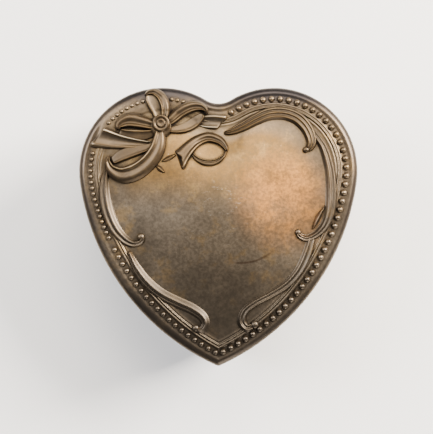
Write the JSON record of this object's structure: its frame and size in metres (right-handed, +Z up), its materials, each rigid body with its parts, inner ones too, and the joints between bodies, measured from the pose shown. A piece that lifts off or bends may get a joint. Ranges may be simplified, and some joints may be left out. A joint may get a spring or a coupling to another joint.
{
  "type": "wind-up music box",
  "caption": "Heart-shaped cast metal trinket music box with a domed hinged lid, a velvet-lined tray, and a wind-up pinned-cylinder movement with a comb, gear train and air brake inside.",
  "frame": {"origin": "centre of the closed box's footprint, on the surface it stands on", "axes": "+Z up; -Y towards the heart's tip; +Y towards the two lobes and the hinges; +X to the right, seen from above with the lobes away from the viewer"},
  "size_m": [0.1, 0.0998, 0.0565],
  "materials": {
    "case_metal": "antiqued cast metal, silvered high spots over a brown patina",
    "plate_steel": "brushed, lightly tarnished",
    "bright_steel": "polished",
    "spring_steel": "blued spring steel",
    "brass": "turned and polished",
    "hinge_brass": "antiqued",
    "velvet": "short velvet pile",
    "felt": "wool felt",
    "board": "plain card",
    "tray_board": "plain card",
    "nylon": "moulded nylon",
    "lead": "dull cast lead"
  },
  "bodies": {
    "case": {"base_shell": "case_metal", "pillars": "case_metal", "bottom_cover": "plate_steel", "bottom_felt": "felt", "cover_screws": "bright_steel", "tray": "tray_board", "tray_floor_velvet": "velvet", "tray_wall_velvet": "velvet", "hinge_base_leaf_left": "hinge_brass", "hinge_base_leaf_right": "hinge_brass", "hinge_pin_left": "brass", "hinge_pin_right": "brass", "bedplate": "plate_steel", "movement_screws": "bright_steel", "spring_barrel": "brass", "barrel_cap": "brass", "barrel_screws": "bright_steel", "mainspring": "spring_steel", "cylinder_post": "plate_steel", "inner_plate": "plate_steel", "outer_plate": "plate_steel", "governor_cock": "plate_steel", "comb": "bright_steel", "comb_screws": "bright_steel", "comb_weights": "lead", "rod_guide": "brass"},
    "lid": {"lid_shell": "case_metal", "lid_board": "board", "lid_pad": "velvet", "hinge_lid_leaf_left": "hinge_brass", "hinge_lid_leaf_right": "hinge_brass"},
    "winder": {"winding_arbor": "bright_steel", "winding_key": "brass"},
    "great_wheel": {"great_wheel": "brass", "clutch_spring": "spring_steel"},
    "music_cylinder": {"cylinder_tube": "brass", "cylinder_heads": "brass", "cylinder_pins": "bright_steel", "cylinder_arbor": "bright_steel", "cylinder_pinion": "bright_steel", "cylinder_wheel": "brass"},
    "governor": {"governor_arbor": "bright_steel", "governor_pinion": "bright_steel", "worm_wheel": "brass"},
    "fly": {"worm": "bright_steel", "fly": "nylon"},
    "stop_rod": {"stop_rod": "brass", "brake_finger": "plate_steel", "stop_spring": "spring_steel"}
  },
  "joints": [
    {"name": "lid_hinge", "type": "hinge", "parent": "case", "child": "lid", "pos_m": [0, 0.04853, 0.04], "axis": [-1, 0, 0], "range_deg": [0, 100]},
    {"name": "key_turn", "type": "hinge", "parent": "case", "child": "winder", "pos_m": [-0.014, 0.01, 0.005], "axis": [0, 0, 1], "continuous": true},
    {"name": "great_wheel_spin", "type": "hinge", "parent": "case", "child": "great_wheel", "pos_m": [-0.014, 0.01, 0.025], "axis": [0, 0, 1], "continuous": true},
    {"name": "cylinder_spin", "type": "hinge", "parent": "case", "child": "music_cylinder", "pos_m": [0.01, 0.01, 0.0215], "axis": [-1, 0, 0], "continuous": true},
    {"name": "governor_spin", "type": "hinge", "parent": "case", "child": "governor", "pos_m": [0.025, 0.0187, 0.0215], "axis": [1, 0, 0], "continuous": true},
    {"name": "fly_spin", "type": "hinge", "parent": "case", "child": "fly", "pos_m": [0.0274, 0.0234, 0.025], "axis": [0, 0, 1], "continuous": true},
    {"name": "stop_rod_slide", "type": "slide", "parent": "case", "child": "stop_rod", "axis": [0, 0, 1], "range_m": [0, 0.002], "deforming": ["stop_spring"]}
  ],
  "couplings": [
    {"joint": "great_wheel_spin", "follows": "cylinder_spin", "ratio": 0.225},
    {"joint": "governor_spin", "follows": "cylinder_spin", "ratio": 4.8},
    {"joint": "fly_spin", "follows": "cylinder_spin", "ratio": -96},
    {"joint": "stop_rod_slide", "follows": "lid_hinge", "m_per_rad": 0.00114}
  ]
}
